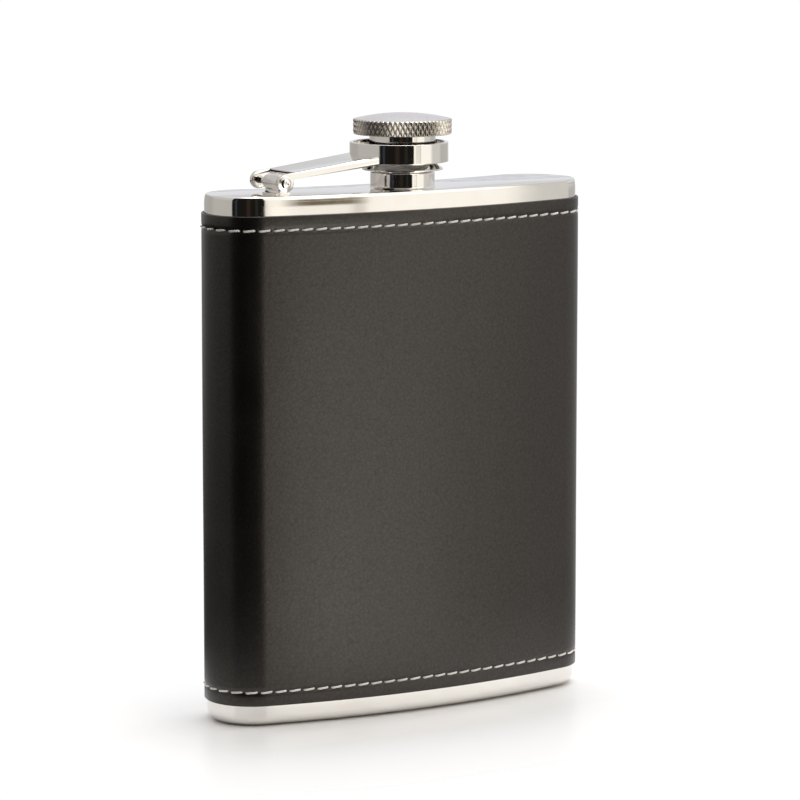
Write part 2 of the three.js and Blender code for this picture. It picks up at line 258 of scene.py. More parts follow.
def combine(piece, other, operation):
    boolean = piece.modifiers.new("boolean", "BOOLEAN")
    boolean.operation = operation
    boolean.solver = "EXACT"
    boolean.object = other
    apply_modifiers(piece)
    bpy.data.objects.remove(other)
    tidy_mesh(piece)


# The kidney section: the front and back faces are arcs about one centre behind the flask, and each narrow end
# is a flat between two corner arcs.


class Section:
    """Points round the steel's section, anticlockwise from above, from the middle of the back."""

    def __init__(self, step):
        front = (BODY_WIDTH**2 / 4 + FRONT_SAGITTA**2) / (2 * FRONT_SAGITTA)
        back = front - BODY_THICKNESS
        centre = front - BODY_THICKNESS / 2
        corner = CORNER_RADIUS
        front_half = math.asin((BODY_WIDTH / 2 - corner) / (front - corner))
        end = front_half + math.asin(corner / (front - corner))
        back_half = end - math.asin(corner / (back + corner))
        quarter = math.pi / 2
        self.points = []
        self.normals = []
        self.sweep(0, centre, back, 0, -back_half, -1, step)
        for side in (-1, 1):
            front_centre = self.along_ray(centre, front - corner, side * front_half)
            back_centre = self.along_ray(centre, back + corner, side * back_half)
            back_turn = (*back_centre, corner, side * (back_half + 2 * quarter), side * (end + quarter))
            front_turn = (*front_centre, corner, side * (end + quarter), side * front_half)
            if side < 0:
                self.sweep(*back_turn, 1, step)
                self.sweep(*front_turn, 1, step)
                self.sweep(0, centre, front, -front_half, front_half, 1, step)
            else:
                self.sweep(*front_turn[:3], front_turn[4], front_turn[3], 1, step)
                self.sweep(*back_turn[:3], back_turn[4], back_turn[3], 1, step)
        self.sweep(0, centre, back, back_half, 0, -1, step)
        self.lengths = [0.0]
        for a, b in zip(self.points, self.points[1:]):
            self.lengths.append(self.lengths[-1] + math.dist(a, b))
        self.length = self.lengths[-1]

    @staticmethod
    def along_ray(centre, reach, angle):
        """A point at a distance from the arcs' centre, the angle from the front."""
        return (reach * math.sin(angle), centre - reach * math.cos(angle))

    def sweep(self, x, y, radius, start, end, outward, step):
        """Adds an arc. Angles are from the front, and outward is -1 where the section curves inwards."""
        steps = max(2, round(abs(end - start) * radius / step))
        for i in range(steps + 1):
            angle = start + (end - start) * i / steps
            ray = (math.sin(angle), -math.cos(angle))
            point = (x + radius * ray[0], y + radius * ray[1])
            if self.points and math.dist(self.points[-1], point) < step / 100:
                continue
            self.bridge(point, (outward * ray[0], outward * ray[1]), step)

    def bridge(self, point, normal, step):
        """Adds a point, and fills the flat that leads to it."""
        if self.points:
            last = self.points[-1]
            gap = math.dist(last, point)
            steps = max(1, round(gap / step)) if gap > 1.5 * step else 1
            for i in range(1, steps):
                share = i / steps
                self.points.append(tuple(a + (b - a) * share for a, b in zip(last, point)))
                self.normals.append(normal)
        self.points.append(point)
        self.normals.append(normal)

    def ring(self, outset, height):
        """The whole outline at one height, without its repeated last point."""
        pairs = zip(self.points[:-1], self.normals[:-1])
        return [(p[0] + outset * n[0], p[1] + outset * n[1], height) for p, n in pairs]

    def at(self, length, outset, height):
        """A point at a length round the steel, an outset from it and a height."""
        length = min(max(length, 0.0), self.length)
        low, high = 0, len(self.lengths) - 1
        while high - low > 1:
            middle = (low + high) // 2
            if self.lengths[middle] <= length:
                low = middle
            else:
                high = middle
        share = (length - self.lengths[low]) / (self.lengths[high] - self.lengths[low])
        a, b = self.points[low], self.points[high]
        n, m = self.normals[low], self.normals[high]
        normal = Vector((*n, 0)).lerp(Vector((*m, 0)), share).normalized()
        x = a[0] + (b[0] - a[0]) * share + outset * normal.x
        y = a[1] + (b[1] - a[1]) * share + outset * normal.y
        return (x, y, height)


section = Section(OUTLINE_STEP)
STITCH_PITCH = section.length / STITCH_COUNT


# Steel bottle


def body_tube():
    bottom, top = (corner.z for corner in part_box("body_tube"))
    rim = [pair for pair in rim_curve() if pair[1] < top]
    drawn_in = rim[-1][0]
    inner = [(drawn_in - WALL, top), (-WALL, rim[0][1]), (-WALL, bottom)]
    profile = [(0, bottom), *rim, (drawn_in, top), *inner]
    return loft("steel_tube", [section.ring(*pair) for pair in profile], joined_ends=True)


def rim_curve():
    """Insets and heights of the steel's top edge, which leans in more and more."""
    curve = []
    for i in range(RIM_STEPS + 1):
        angle = math.pi / 2 * i / RIM_STEPS
        height = PLATE_TOP - TOP_RIM_HEIGHT * (1 - math.sin(angle))
        curve.append((TOP_RIM_INSET * (math.cos(angle) - 1), height))
    return curve


def base_pan():
    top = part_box("base_pan")[1].z
    edge = BASE_EDGE_RADIUS
    outer = arc(-edge, edge, edge, -90, 0, 12)
    inner = arc(-edge, edge, edge - WALL, 0, -90, 8)
    profile = [*outer, (0, top), (-WALL, top), *inner]
    return loft("steel_base", [section.ring(*pair) for pair in profile])


def top_plate():
    bottom, top = (corner.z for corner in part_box("top_plate"))
    rim = [pair for pair in rim_curve() if pair[1] > bottom]
    rings = [section.ring(*pair) for pair in [(rim[0][0], bottom), *rim]]
    angles = [math.atan2(y, x) for x, y, _ in rings[0]]
    hole = [(PLATE_HOLE_RADIUS * math.cos(angle), PLATE_HOLE_RADIUS * math.sin(angle)) for angle in angles]
    for height in (top, bottom):
        rings.append([(x, y, height) for x, y in hole])
    return loft("steel_top", rings, joined_ends=True)


def helix(start, turns, rise):
    """How far a screw thread's ridge stands off its wall, at a height and an angle."""
    run_out = 1 / 8  # of a turn, at each end

    def ridge(height, angle):
        most = 0.0
        turn = angle / (2 * math.pi)
        while turn <= turns:
            off = abs(height - start - turn * SCREW_PITCH)
            full = min(1.0, turn / run_out, (turns - turn) / run_out)
            flank = (RIDGE_ROOT_HALF - off) / (RIDGE_ROOT_HALF - RIDGE_CREST_HALF)
            most = max(most, full * min(1.0, max(0.0, flank)))
            turn += 1
        return most * rise

    return ridge


def ridge_rows(radius, start, end):
    """Closely spaced rows of a profile, for a thread's ridge to stand out from."""
    count = round(abs(end - start) / RIDGE_ROW)
    return [(radius, start + (end - start) * i / count) for i in range(count + 1)]


def threaded(wall, ridge):
    """The relief of a turned part with a thread on the one wall of that radius."""

    def relief(radius, height, angle):
        return radius + ridge(height, angle) if radius == wall else radius

    return relief


def neck():
    flange_radius, flange_bottom = 7.8 * MM, -1.6 * MM
    waist_radius, plate_underside = 6.95 * MM, -0.8 * MM
    fillet = 0.6 * MM
    shoulder, shoulder_edge = 3.7 * MM, 0.4 * MM
    lip, lip_edge, mouth_edge = 9.6 * MM, 0.25 * MM, 0.2 * MM
    profile = [
        (BORE_RADIUS, flange_bottom),
        (flange_radius, flange_bottom),
        (flange_radius, plate_underside),
        (waist_radius, plate_underside),
        (waist_radius, 0),
        *arc(NECK_RADIUS + fillet, fillet, fillet, 270, 180, 8),
        *arc(NECK_RADIUS - shoulder_edge, shoulder - shoulder_edge, shoulder_edge, 0, 90, 5),
        (SPOUT_RADIUS, shoulder),
        *ridge_rows(SPOUT_RADIUS, 4.7 * MM, 8.0 * MM),
        (SPOUT_RADIUS, lip - lip_edge),
        (SPOUT_RADIUS - lip_edge, lip),
        (BORE_RADIUS + mouth_edge, lip),
        (BORE_RADIUS, lip - mouth_edge),
    ]
    ridge = helix(start=5.3 * MM, turns=1.2, rise=SPOUT_CREST - SPOUT_RADIUS)
    return turned("neck_and_spout", profile, 120, threaded(SPOUT_RADIUS, ridge))


# Wrap


def leather_dip(length, height):
    """How far the stitching pulls the leather in: a channel along each row, and a dimple at every hole."""
    phase = (length / STITCH_PITCH) % 1.0 - 0.5
    beside_hole = abs(phase) * STITCH_PITCH - STITCH_LENGTH / 2
    dip = 0.0
    for row in STITCH_ROWS:
        across = height - row
        if abs(across) > CHANNEL_REACH:
            continue
        dip += CHANNEL_DEPTH * math.exp(-((across / CHANNEL_WIDTH) ** 2))
        fall = (beside_hole / NEEDLE_HOLE_LENGTH) ** 2 + (across / NEEDLE_HOLE_WIDTH) ** 2
        dip += NEEDLE_HOLE_DEPTH * math.exp(-fall)
    return dip


def leather_swell(length, height):
    """The faint unevenness of leather glued over sheet steel."""
    around = length / section.length * 2 * math.pi
    up = (height - WRAP_BOTTOM) / (WRAP_TOP - WRAP_BOTTOM) * 2 * math.pi
    wave = math.sin(3 * around + 1.1 + 0.8 * math.sin(up)) * math.sin(1.3 * up + 0.6)
    wave += 0.6 * math.sin(7 * around - 0.9 * up) * math.cos(2.1 * up + 0.4 * around)
    return LEATHER_SWELL * wave


def leather_levels():
    """Heights of the rows of points on the outer face, close together where the leather is stitched."""
    rows = []
    for row in STITCH_ROWS:
        start = row - STITCH_BAND_HALF
        rows += [start + 2 * STITCH_BAND_HALF * i / STITCH_BAND_STEPS for i in range(STITCH_BAND_STEPS + 1)]
    plain_start = STITCH_ROWS[0] + STITCH_BAND_HALF
    rows += [plain_start + i * PLAIN_ROW_STEP for i in range(1, PLAIN_ROWS + 1)]
    return sorted(rows)


def seam_to_seam(seam_half, columns):
    """Lengths round the section from one side of the seam to the other."""
    return [seam_half + (section.length - 2 * seam_half) * i / columns for i in range(columns + 1)]


def leather_wrap():
    edge = LEATHER_EDGE_RADIUS
    lower = arc(-edge, WRAP_BOTTOM + edge, edge, -90, 0, 4)
    upper = arc(-edge, WRAP_TOP - edge, edge, 0, 90, 4)
    outer_face = [*lower, *((0.0, level) for level in leather_levels()), *upper]
    rings = []
    for length in seam_to_seam(LEATHER_SEAM_HALF, round(section.length / LEATHER_STEP)):
        from_seam = min(length, section.length - length) - LEATHER_SEAM_HALF
        turn_in = edge - math.sqrt(max(0.0, edge**2 - max(0.0, edge - from_seam) ** 2))
        ring = [section.at(length, LEATHER_INNER, height) for height in (WRAP_TOP, WRAP_BOTTOM)]
        for inset, height in outer_face:
            relief = leather_swell(length, height) - leather_dip(length, height)
            ring.append(section.at(length, LEATHER_OUTER + inset + relief - turn_in, height))
        rings.append(ring)
    return loft("leather_cover", rings, sharp_degrees=50)


def stitch_row(name, row):
    """One thread all the way round, which shows along each stitch and goes under the leather in between."""
    gap_half = (STITCH_PITCH - STITCH_LENGTH) / 2
    rings = []
    for stitch in range(STITCH_COUNT):
        for step in range(THREAD_STEPS):
            along = (step / THREAD_STEPS - 0.5) * STITCH_PITCH
            reach = along / (STITCH_LENGTH / 2)
            slant = STITCH_SLANT * reach
            if abs(reach) > 1:
                slant = math.copysign(STITCH_SLANT, reach) * (STITCH_PITCH / 2 - abs(along)) / gap_half
            outset = LEATHER_OUTER + THREAD_CROWN - THREAD_DIVE * min(1.0, abs(reach)) ** 5
            rings.append(thread_ring((stitch + 0.5) * STITCH_PITCH + along, outset, row + slant))
    return loft(name, rings[2:-1])


def thread_ring(length, outset, height):
    """The outline of a twisted thread, pressed a little flat."""
    ring = []
    for side in range(THREAD_SIDES):
        angle = 2 * math.pi * side / THREAD_SIDES
        twist = 2 * math.pi * length / PLY_LENGTH
        radius = THREAD_RADIUS * (1 + PLY_DEPTH * math.cos(PLY_COUNT * (angle - twist)))
        out = outset + THREAD_FLATNESS * radius * math.cos(angle)
        ring.append(section.at(length, out, height + radius * math.sin(angle)))
    return ring


def wrap_lining():
    corners = [
        (LINING_INNER, WRAP_TOP),
        (LINING_INNER, WRAP_BOTTOM),
        (LINING_OUTER, WRAP_BOTTOM),
        (LINING_OUTER, WRAP_TOP),
    ]
    lengths = seam_to_seam(LINING_SEAM_HALF, LINING_COLUMNS)
    return loft("leather_lining", [[section.at(length, *corner) for corner in corners] for length in lengths])


# Hinge


def hinge_frame():
    """The hinge axis: its X and its height."""
    low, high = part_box("hinge_pin")
    return (low.x + high.x) / 2, (low.z + high.z) / 2


def hinge_bracket():
    """A round knuckle on a stem and a flat foot."""
    hinge_x, hinge_z = hinge_frame()
    low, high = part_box("hinge_bracket")
    knuckle = 1.9 * MM
    stem = 1.15 * MM
    blend = 0.5 * MM
    foot_top = PLATE_TOP + 0.6 * MM
    foot = 2.0 * MM
    edge = 0.14 * MM
    drop = math.degrees(math.asin(stem / knuckle))
    outline = [(hinge_x - foot, PLATE_TOP), (hinge_x + foot, PLATE_TOP), (hinge_x + foot, foot_top)]
    outline += arc(hinge_x + stem + blend, foot_top + blend, blend, 270, 180, 5)
    outline += arc(hinge_x, hinge_z, knuckle, drop - 90, 270 - drop, HINGE_SIDES)
    outline += arc(hinge_x - stem - blend, foot_top + blend, blend, 360, 270, 5)
    outline.append((hinge_x - foot, foot_top))
    made = extruded("bracket_knuckle", outline, low.y, high.y)
    add_bevel(made, edge)
    hole = rod("hole", BRACKET_HOLE_RADIUS, low.y - CUT_MARGIN, high.y + CUT_MARGIN)
    combine(made, hole, "DIFFERENCE")
    return made


def rod(name, radius, y_front, y_back):
    hinge_x, hinge_z = hinge_frame()
    outline = arc(hinge_x, hinge_z, radius, 0, 360, HINGE_SIDES)[:-1]
    return extruded(name, outline, y_front, y_back)


def hinge_pin():
    """A pin with a peened head on each end, dimpled by the punch."""
    hinge_x, hinge_z = hinge_frame()
    low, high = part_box("hinge_pin")
    end = (high.y - low.y) / 2
    # Each point is a radius and how far it is short of the pin's end, in millimetres.
    dimple = [(0, 0.16), (0.2, 0.12), (0.38, 0)]
    head = [(0.75, 0), (1.05, 0.09), (1.2, 0.22), (1.2, 0.35), (0.8, 0.35)]
    half = [(radius * MM, end - short * MM) for radius, short in dimple + head]
    profile = half + [(radius, -along) for radius, along in reversed(half)]
    rings = []
    for radius, along in profile:
        ring = []
        for i in range(HINGE_SIDES):
            angle = 2 * math.pi * i / HINGE_SIDES
            ring.append((hinge_x + radius * math.cos(angle), along, hinge_z + radius * math.sin(angle)))
        rings.append(ring)
    return loft("peened_pin", rings, capped=False)


def swing_arm():
    """A channel pressed from sheet: two ears at the hinge, and an end that follows the collar's wall."""
    hinge_x, hinge_z = hinge_frame()
    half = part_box("swing_arm")[1].y
    sheet = 0.95 * MM
    ear = 2.0 * MM
    ear_room = 3 * MM
    fold, lower_edge, edge = 0.9 * MM, 0.4 * MM, 0.12 * MM
    slope = math.radians(7.4)
    length = 26 * MM
    hinge_depth, end_depth = 1.4 * MM, 2.2 * MM
    weld_depth = 0.6 * MM
    join = math.degrees(math.asin((ear - hinge_depth) / ear))
    side = arc(0, 0, ear, 90, 360 + join, HINGE_SIDES) + [(length, ear - end_depth), (length, ear)]
    made = extruded("arm_strip", side, -half, half)
    round_edges(made, upper_folds(ear), fold, 6)
    round_edges(made, lower_edges(half, ear / 2), lower_edge, 4)
    reach = 2 * ear
    inside = half - sheet
    channel = block("channel", (-reach, length + reach), (-inside, inside), (-reach, ear - sheet))
    combine(made, channel, "DIFFERENCE")
    room = block("room", (-reach, ear_room), (-inside, inside), (-reach, reach))
    combine(made, room, "DIFFERENCE")
    add_bevel(made, edge)
    made.data.transform(Matrix.Translation((hinge_x, 0, hinge_z)) @ Matrix.Rotation(-slope, 4, "Y"))
    combine(made, collar_core(weld_depth), "DIFFERENCE")
    hole = rod("hole", ARM_HOLE_RADIUS, -2 * half, 2 * half)
    combine(made, hole, "DIFFERENCE")
    return made


def collar_core(depth):
    """A cylinder that is a depth smaller than the collar and taller than it."""
    low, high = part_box("captive_collar")
    radius = (high.x - low.x) / 2 - depth
    bottom, top = -5 * MM, 20 * MM
    core = turned("core", [(0, bottom), (radius, bottom), (radius, top), (0, top)], 128)
    core.data.transform(Matrix.Translation(((low.x + high.x) / 2, 0, 0)))
    return core


def upper_folds(top):
    """Chooses the two long upper edges, where the sheet is folded down."""

    def chosen(a, b):
        return max(abs(a.z - top), abs(b.z - top), abs(a.y - b.y)) < TOLERANCE

    return chosen


def lower_edges(half, middle):
    """Chooses the long lower edges of the folded-down sides."""
    shortest = 5 * MM

    def chosen(a, b):
        on_side = max(abs(abs(a.y) - half), abs(a.y - b.y)) < TOLERANCE
        return on_side and max(a.z, b.z) < middle and abs(a.x - b.x) > shortest

    return chosen


def round_edges(piece, chosen, radius, segments):
    """Rounds the edges whose two ends chosen(a, b) accepts."""
    shape = bmesh.new()
    shape.from_mesh(piece.data)
    edges = [edge for edge in shape.edges if chosen(*(vert.co for vert in edge.verts))]
    bmesh.ops.bevel(shape, geom=edges, offset=radius, segments=segments, profile=0.5, affect="EDGES")
    shape.to_mesh(piece.data)
    shape.free()
    tidy_mesh(piece)


def block(name, x_range, y_range, z_range):
    left, right = x_range
    front, back = y_range
    corners = [(left, front), (right, front), (right, back), (left, back)]
    return loft(name, [[(*corner, z) for corner in corners] for z in z_range])


def captive_collar():
    """A band with a thin shelf inside, which the cap's flared rim can't pass."""
    low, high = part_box("captive_collar")
    centre = (low.x + high.x) / 2
    bottom, top = low.z - PLATE_TOP, high.z - PLATE_TOP
    foot, brim, inner, hole = 11.32 * MM, 11.3 * MM, 10.4 * MM, 8.75 * MM
    shelf_bottom, shelf_top = 8.55 * MM, 9.45 * MM
    edge = 0.16 * MM
    profile = [
        (inner, bottom + edge),
        (inner + edge, bottom),
        *arc(foot - edge, bottom + edge, edge, -90, 0, 3),
        *arc(brim - edge, top - edge, edge, 0, 90, 3),
        (inner + edge, top),
        (inner, top - edge),
        (inner, shelf_top),
        (hole, shelf_top),
        (hole, shelf_bottom),
        (inner, shelf_bottom),
    ]
    return turned("collar_band", profile, 160, centre=(centre, 0.0))


# Cap


def cap_skirt():
    """The threaded sleeve under the head, with the flared rim that keeps it in the collar."""
    bottom, flare_top, waist, top = 4.05 * MM, 4.45 * MM, 5.5 * MM, 13 * MM
    ceiling = 10.95 * MM
    mouth_edge = 0.2 * MM
    edge = 0.14 * MM
    profile = [
        (0, ceiling),
        (CAP_BORE, ceiling),
        *ridge_rows(CAP_BORE, 8.0 * MM, 4.3 * MM),
        (CAP_BORE + mouth_edge, bottom),
        *arc(FLARE_RADIUS - edge, bottom + edge, edge, -90, 0, 3),
        *arc(FLARE_RADIUS - edge, flare_top - edge, edge, 0, 60, 3),
        (SKIRT_RADIUS, waist),
        (SKIRT_RADIUS, top),
        (0, top),
    ]
    ridge = helix(start=4.55 * MM, turns=2.0, rise=CAP_CREST - CAP_BORE)
    return turned("cap_sleeve", profile, 120, threaded(CAP_BORE, ridge))


def cap_head():
    """A disc with a diamond knurl round its edge and a shallow dome, recessed underneath for the sleeve."""
    low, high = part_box("cap_head")
    radius = high.x
    bottom, top = low.z - PLATE_TOP, high.z - PLATE_TOP
    rim = 15.65 * MM
    recess, recess_top = SKIRT_RADIUS + 0.05 * MM, 13.05 * MM
    land, lip = 0.08 * MM, 0.02 * MM
    dome_inset = 0.35 * MM
    root = radius - KNURL_DEPTH
    rise = top - rim
    edge_radius = radius - dome_inset
    dome = (edge_radius**2 + rise**2) / (2 * rise)
    dome_half = math.degrees(math.asin(edge_radius / dome))
    rows = 36
    knurl_low, knurl_high = bottom + land, rim - land
    profile = [
        (0, recess_top),
        (recess, recess_top),
        (recess, bottom),
        (root, bottom),
        *((radius, knurl_low + (knurl_high - knurl_low) * i / rows) for i in range(rows + 1)),
        (root, rim - lip),
        *arc(0, top - dome, dome, 90 - dome_half, 90, 12)[:-1],
        (0, top),
    ]

    def tooth(value):
        return abs(2 * (value % 1.0) - 1)

    def relief(reach, height, angle):
        if reach != radius:
            return reach
        around = KNURL_COUNT * angle / (2 * math.pi)
        up = height / KNURL_HEIGHT
        peak = min(KNURL_FLAT, tooth(around + up), tooth(around - up)) / KNURL_FLAT
        from_edge = min(height - knurl_low, knurl_high - height)
        run_out = min(1.0, KNURL_EDGE + from_edge / KNURL_RUN_OUT)
        return radius - KNURL_DEPTH * (1 - peak * run_out)

    return turned("knurled_head", profile, KNURL_COUNT * 10, relief, sharp_degrees=28)


# Materials


class Nodes:
    """A short way to write a node tree."""

    def __init__(self, name):
        self.material = bpy.data.materials.new(name)
        self.material.use_nodes = True
        self.tree = self.material.node_tree
        self.shader = self.tree.nodes["Principled BSDF"]
        self.place = self.add("ShaderNodeTexCoord").outputs["Object"]

    def add(self, kind, inputs=None, **settings):
        node = self.tree.nodes.new(kind)
        for key, value in settings.items():
            setattr(node, key, value)
        for key, value in (inputs or {}).items():
            self.set(node.inputs[key], value)
        return node

    def set(self, socket, value):
        if isinstance(value, bpy.types.NodeSocket):
            self.tree.links.new(value, socket)
        else:
            socket.default_value = value

    def shade(self, **inputs):
        for key, value in inputs.items():
            self.set(self.shader.inputs[key.replace("_", " ")], value)

    def scaled(self, stretch):
        return self.add("ShaderNodeMapping", {"Vector": self.place, "Scale": stretch}).outputs["Vector"]

    def noise(self, scale, detail=3.0, roughness=0.5, stretch=None):
        source = self.scaled(stretch) if stretch else self.place
        inputs = {"Vector": source, "Scale": scale, "Detail": detail, "Roughness": roughness}
        return self.add("ShaderNodeTexNoise", inputs).outputs["Fac"]

    def cells(self, scale, source, feature="F1"):
        node = self.add("ShaderNodeTexVoronoi", {"Vector": source, "Scale": scale}, feature=feature)
        return node.outputs["Distance"]

    def span(self, value, low, high, to_low, to_high):
        inputs = {"Value": value, "From Min": low, "From Max": high, "To Min": to_low, "To Max": to_high}
        return self.add("ShaderNodeMapRange", inputs).outputs["Result"]

    def math(self, operation, a, b=0.0):
        node = self.add("ShaderNodeMath", operation=operation)
        self.set(node.inputs[0], a)
        self.set(node.inputs[1], b)
        return node.outputs[0]

    def blend(self, share, a, b):
        node = self.add("ShaderNodeMix", data_type="RGBA")
        self.set(node.inputs["Factor"], share)
        for socket, colour in zip([s for s in node.inputs if s.type == "RGBA"], (a, b)):
            self.set(socket, (*colour, 1.0) if isinstance(colour, tuple) else colour)
        return next(s for s in node.outputs if s.type == "RGBA")

    def bump(self, height, strength, distance, before=None):
        node = self.add("ShaderNodeBump", {"Height": height, "Strength": strength, "Distance": distance})
        if before is not None:
            self.set(node.inputs["Normal"], before)
        return node.outputs["Normal"]


def polished_steel():
    """Mirror-polished stainless steel with the faint haze and hairlines of handling."""
    nodes = Nodes("polished_steel")
    haze = nodes.noise(260.0, detail=4.0)
    hairlines = nodes.noise(900.0, detail=2.0, roughness=0.6, stretch=(1.0, 1.0, 14.0))
    tint = nodes.blend(haze, (0.80, 0.77, 0.73), (0.86, 0.84, 0.81))
    nodes.shade(Base_Color=tint, Metallic=1.0, Roughness=nodes.span(haze, 0.3, 0.7, 0.05, 0.11))
    nodes.shade(Normal=nodes.bump(hairlines, 0.05, 0.02 * MM))
    return nodes.material


def satin_steel():
    """Turned steel: fine rings round the axis of the cap, and painted shade darkening the hollows of the
    knurl.
    """
    nodes = Nodes("satin_steel")
    flat = nodes.add("ShaderNodeVectorMath", {0: nodes.place, 1: (1.0, 1.0, 0.0)}, operation="MULTIPLY")
    length = nodes.add("ShaderNodeVectorMath", {0: flat.outputs["Vector"]}, operation="LENGTH")
    reach = length.outputs["Value"]
    along = nodes.math("MULTIPLY", reach, 9000.0)
    rings = nodes.add("ShaderNodeTexNoise", {"W": along, "Detail": 2.0}, noise_dimensions="1D")
    grain = nodes.noise(1500.0, detail=2.0)
    knurl_root, knurl_crest, dome_edge = 10.95 * MM, 11.28 * MM, 10.9 * MM
    # The knurl's hollows are tinted darker than its crests: painted shade in the recesses.
    depth = nodes.span(reach, knurl_root, knurl_crest, 0.0, 1.0)
    knurl_painted_shade = nodes.blend(depth, (0.42, 0.38, 0.32), (0.82, 0.78, 0.72))
    is_dome = nodes.math("LESS_THAN", reach, dome_edge)
    tint = nodes.blend(is_dome, knurl_painted_shade, (0.69, 0.665, 0.66))
    nodes.shade(Base_Color=tint, Metallic=1.0, Roughness=nodes.span(grain, 0.3, 0.7, 0.28, 0.38))
    turned_marks = nodes.bump(rings.outputs["Fac"], 0.25, 0.02 * MM)
    nodes.shade(Normal=nodes.bump(grain, 0.12, 0.02 * MM, turned_marks))
    return nodes.material


def wrap_leather():
    """Smooth black-brown bonded leather with a fine pebbled grain."""
    nodes = Nodes("wrap_leather")
    warp = nodes.noise(700.0, detail=2.0)
    shift = nodes.math("MULTIPLY", warp, 0.5 * MM)
    offset = nodes.add("ShaderNodeCombineXYZ", {"X": shift, "Y": shift, "Z": shift}).outputs["Vector"]
    warped = nodes.add("ShaderNodeVectorMath", {0: nodes.place, 1: offset}, operation="ADD").outputs["Vector"]
    pebbles = nodes.cells(1700.0, warped)
    creases = nodes.cells(900.0, warped, feature="DISTANCE_TO_EDGE")
    crease_line = nodes.span(creases, 0.0, 0.12, 0.84, 1.0)
    mottle = nodes.noise(55.0, detail=5.0, roughness=0.6)
    patches = nodes.span(mottle, 0.35, 0.65, 0.0, 1.0)
    tint = nodes.blend(patches, (0.0045, 0.0036, 0.0032), (0.0085, 0.0070, 0.0062))
    nodes.shade(Base_Color=tint, Roughness=nodes.span(mottle, 0.3, 0.7, 0.27, 0.32))
    pores = nodes.noise(1500.0, detail=3.0, roughness=0.65)
    polish = nodes.math("MULTIPLY", nodes.span(pores, 0.32, 0.68, 0.60, 0.76), crease_line)
    nodes.shade(Specular_IOR_Level=polish, Specular_Tint=(1.0, 0.94, 0.88, 1.0))
    grain = nodes.bump(pebbles, 0.16, 0.04 * MM)
    nodes.shade(Normal=nodes.bump(crease_line, 0.3, 0.04 * MM, grain))
    return nodes.material


def stitch_thread():
    """Waxed off-white thread, a little soiled in places."""
    nodes = Nodes("stitch_thread")
    fibre = nodes.noise(2500.0, detail=3.0)
    soil = nodes.noise(160.0, detail=2.0)
    tint = nodes.blend(nodes.span(soil, 0.4, 0.7, 0.0, 1.0), (0.86, 0.84, 0.80), (0.70, 0.67, 0.62))
    nodes.shade(Base_Color=tint, Roughness=0.75, Sheen_Weight=0.2)
    nodes.shade(Normal=nodes.bump(fibre, 0.3, 0.05 * MM))
    return nodes.material


def lining_fabric():
    """Dark bonded fibre, which shows only in the seam."""
    nodes = Nodes("lining_fabric")
    fibre = nodes.noise(1800.0, detail=4.0, stretch=(1.0, 1.0, 0.3))
    tint = nodes.blend(fibre, (0.02, 0.017, 0.015), (0.05, 0.042, 0.036))
    nodes.shade(Base_Color=tint, Roughness=0.9)
    nodes.shade(Normal=nodes.bump(fibre, 0.4, 0.08 * MM))
    return nodes.material


def seal_plastic():
    """Soft, slightly translucent white plastic."""
    nodes = Nodes("seal_plastic")
    cloud = nodes.noise(420.0, detail=3.0)
    tint = nodes.blend(cloud, (0.70, 0.69, 0.65), (0.78, 0.77, 0.73))
    nodes.shade(Base_Color=tint, Roughness=nodes.span(cloud, 0.3, 0.7, 0.4, 0.55), Subsurface_Weight=0.1)
    nodes.shade(Subsurface_Scale=0.5 * MM, Normal=nodes.bump(cloud, 0.1, 0.05 * MM))
    return nodes.material


def floor_board():
    """A white board with a soft sheen, which fades out round the base."""
    nodes = Nodes("floor_board")
    cloud = nodes.noise(30.0, detail=4.0)
    split = nodes.add("ShaderNodeSeparateXYZ", {"Vector": nodes.place})
    sideways = nodes.math("ABSOLUTE", split.outputs["X"])
    beyond = nodes.math("MAXIMUM", nodes.math("SUBTRACT", sideways, BASE_CORE_HALF))
    squares = [nodes.math("POWER", value, 2.0) for value in (beyond, split.outputs["Y"])]
    reach = nodes.math("SQRT", nodes.math("ADD", *squares))
    distance = nodes.math("SUBTRACT", reach, BASE_CORE_RADIUS)
    nodes.shade(Base_Color=nodes.blend(cloud, (0.93, 0.915, 0.895), (0.95, 0.935, 0.915)), Roughness=0.3)
    nodes.shade(Specular_IOR_Level=0.36, Alpha=nodes.span(distance, FLOOR_SOLID, FLOOR_GONE, 1.0, 0.0))
    return nodes.material


# Studio


ROOM_WHITE = (0.90, 0.92, 0.96)
BACKDROP_STRENGTH = 1.02  # of the plain white behind the flask
